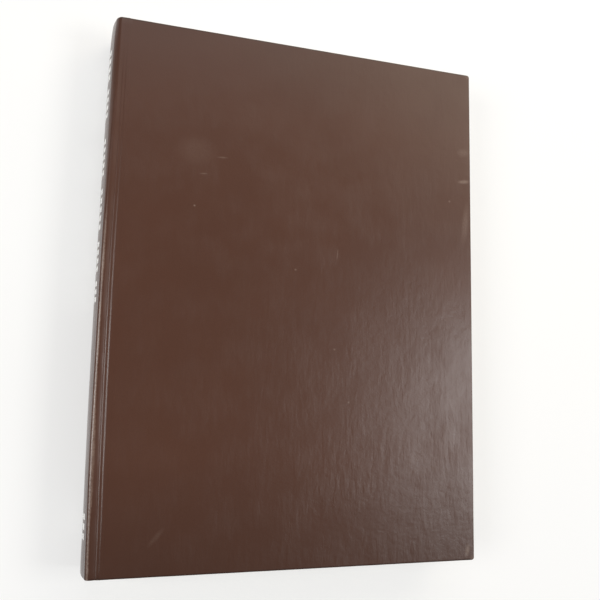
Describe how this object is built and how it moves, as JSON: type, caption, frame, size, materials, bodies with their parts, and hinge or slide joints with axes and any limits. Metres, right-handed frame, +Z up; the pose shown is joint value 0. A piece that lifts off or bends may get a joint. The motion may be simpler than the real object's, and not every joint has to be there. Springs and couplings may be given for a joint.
{
  "type": "hardcover cookbook",
  "caption": "Large case-bound hardcover book with a rounded spine, French grooves and two covers that open flat.",
  "frame": {"origin": "middle of the footprint, on the surface that the book lies on, under its back cover", "axes": "+X from the spine to the fore-edge, +Y from the tail to the head, +Z up, from the back cover to the front cover"},
  "size_m": [0.2096, 0.282, 0.0304],
  "materials": {
    "leaves": "trimmed edges of coated paper leaves",
    "endpaper": "plain uncoated endpaper",
    "kraft_paper": "brown kraft lining paper",
    "gauze": "open starched gauze",
    "headband_cloth": "woven bead on a tape",
    "spine_card": "flexible grey card",
    "binders_board": "dense grey board",
    "leatherette": "dark brown imitation leather with a fine grain and a soft gloss"
  },
  "bodies": {
    "text_block": {"text_block": "leaves", "spine_mull": "gauze", "spine_liner": "kraft_paper", "headband": "headband_cloth", "tailband": "headband_cloth", "spine_inlay": "spine_card", "spine_leatherette": "leatherette", "front_flyleaf": "endpaper", "front_joint_leatherette": "leatherette", "front_joint_mull": "gauze", "front_joint_endpaper": "endpaper", "back_flyleaf": "endpaper", "back_joint_leatherette": "leatherette", "back_joint_mull": "gauze", "back_joint_endpaper": "endpaper"},
    "front_cover": {"front_board": "binders_board", "front_leatherette": "leatherette", "front_pastedown": "endpaper", "front_mull_flange": "gauze"},
    "back_cover": {"back_board": "binders_board", "back_leatherette": "leatherette", "back_pastedown": "endpaper", "back_mull_flange": "gauze"}
  },
  "joints": [
    {"name": "front_cover_hinge", "type": "hinge", "parent": "text_block", "child": "front_cover", "pos_m": [-0.1008, 0, 0.02695], "axis": [0, -1, 0], "range_deg": [0, 179.5], "deforming": ["front_joint_leatherette", "front_joint_mull", "front_joint_endpaper"]},
    {"name": "back_cover_hinge", "type": "hinge", "parent": "text_block", "child": "back_cover", "pos_m": [-0.1008, 0, 0.00345], "axis": [0, 1, 0], "range_deg": [0, 179.5], "deforming": ["back_joint_leatherette", "back_joint_mull", "back_joint_endpaper"]}
  ]
}
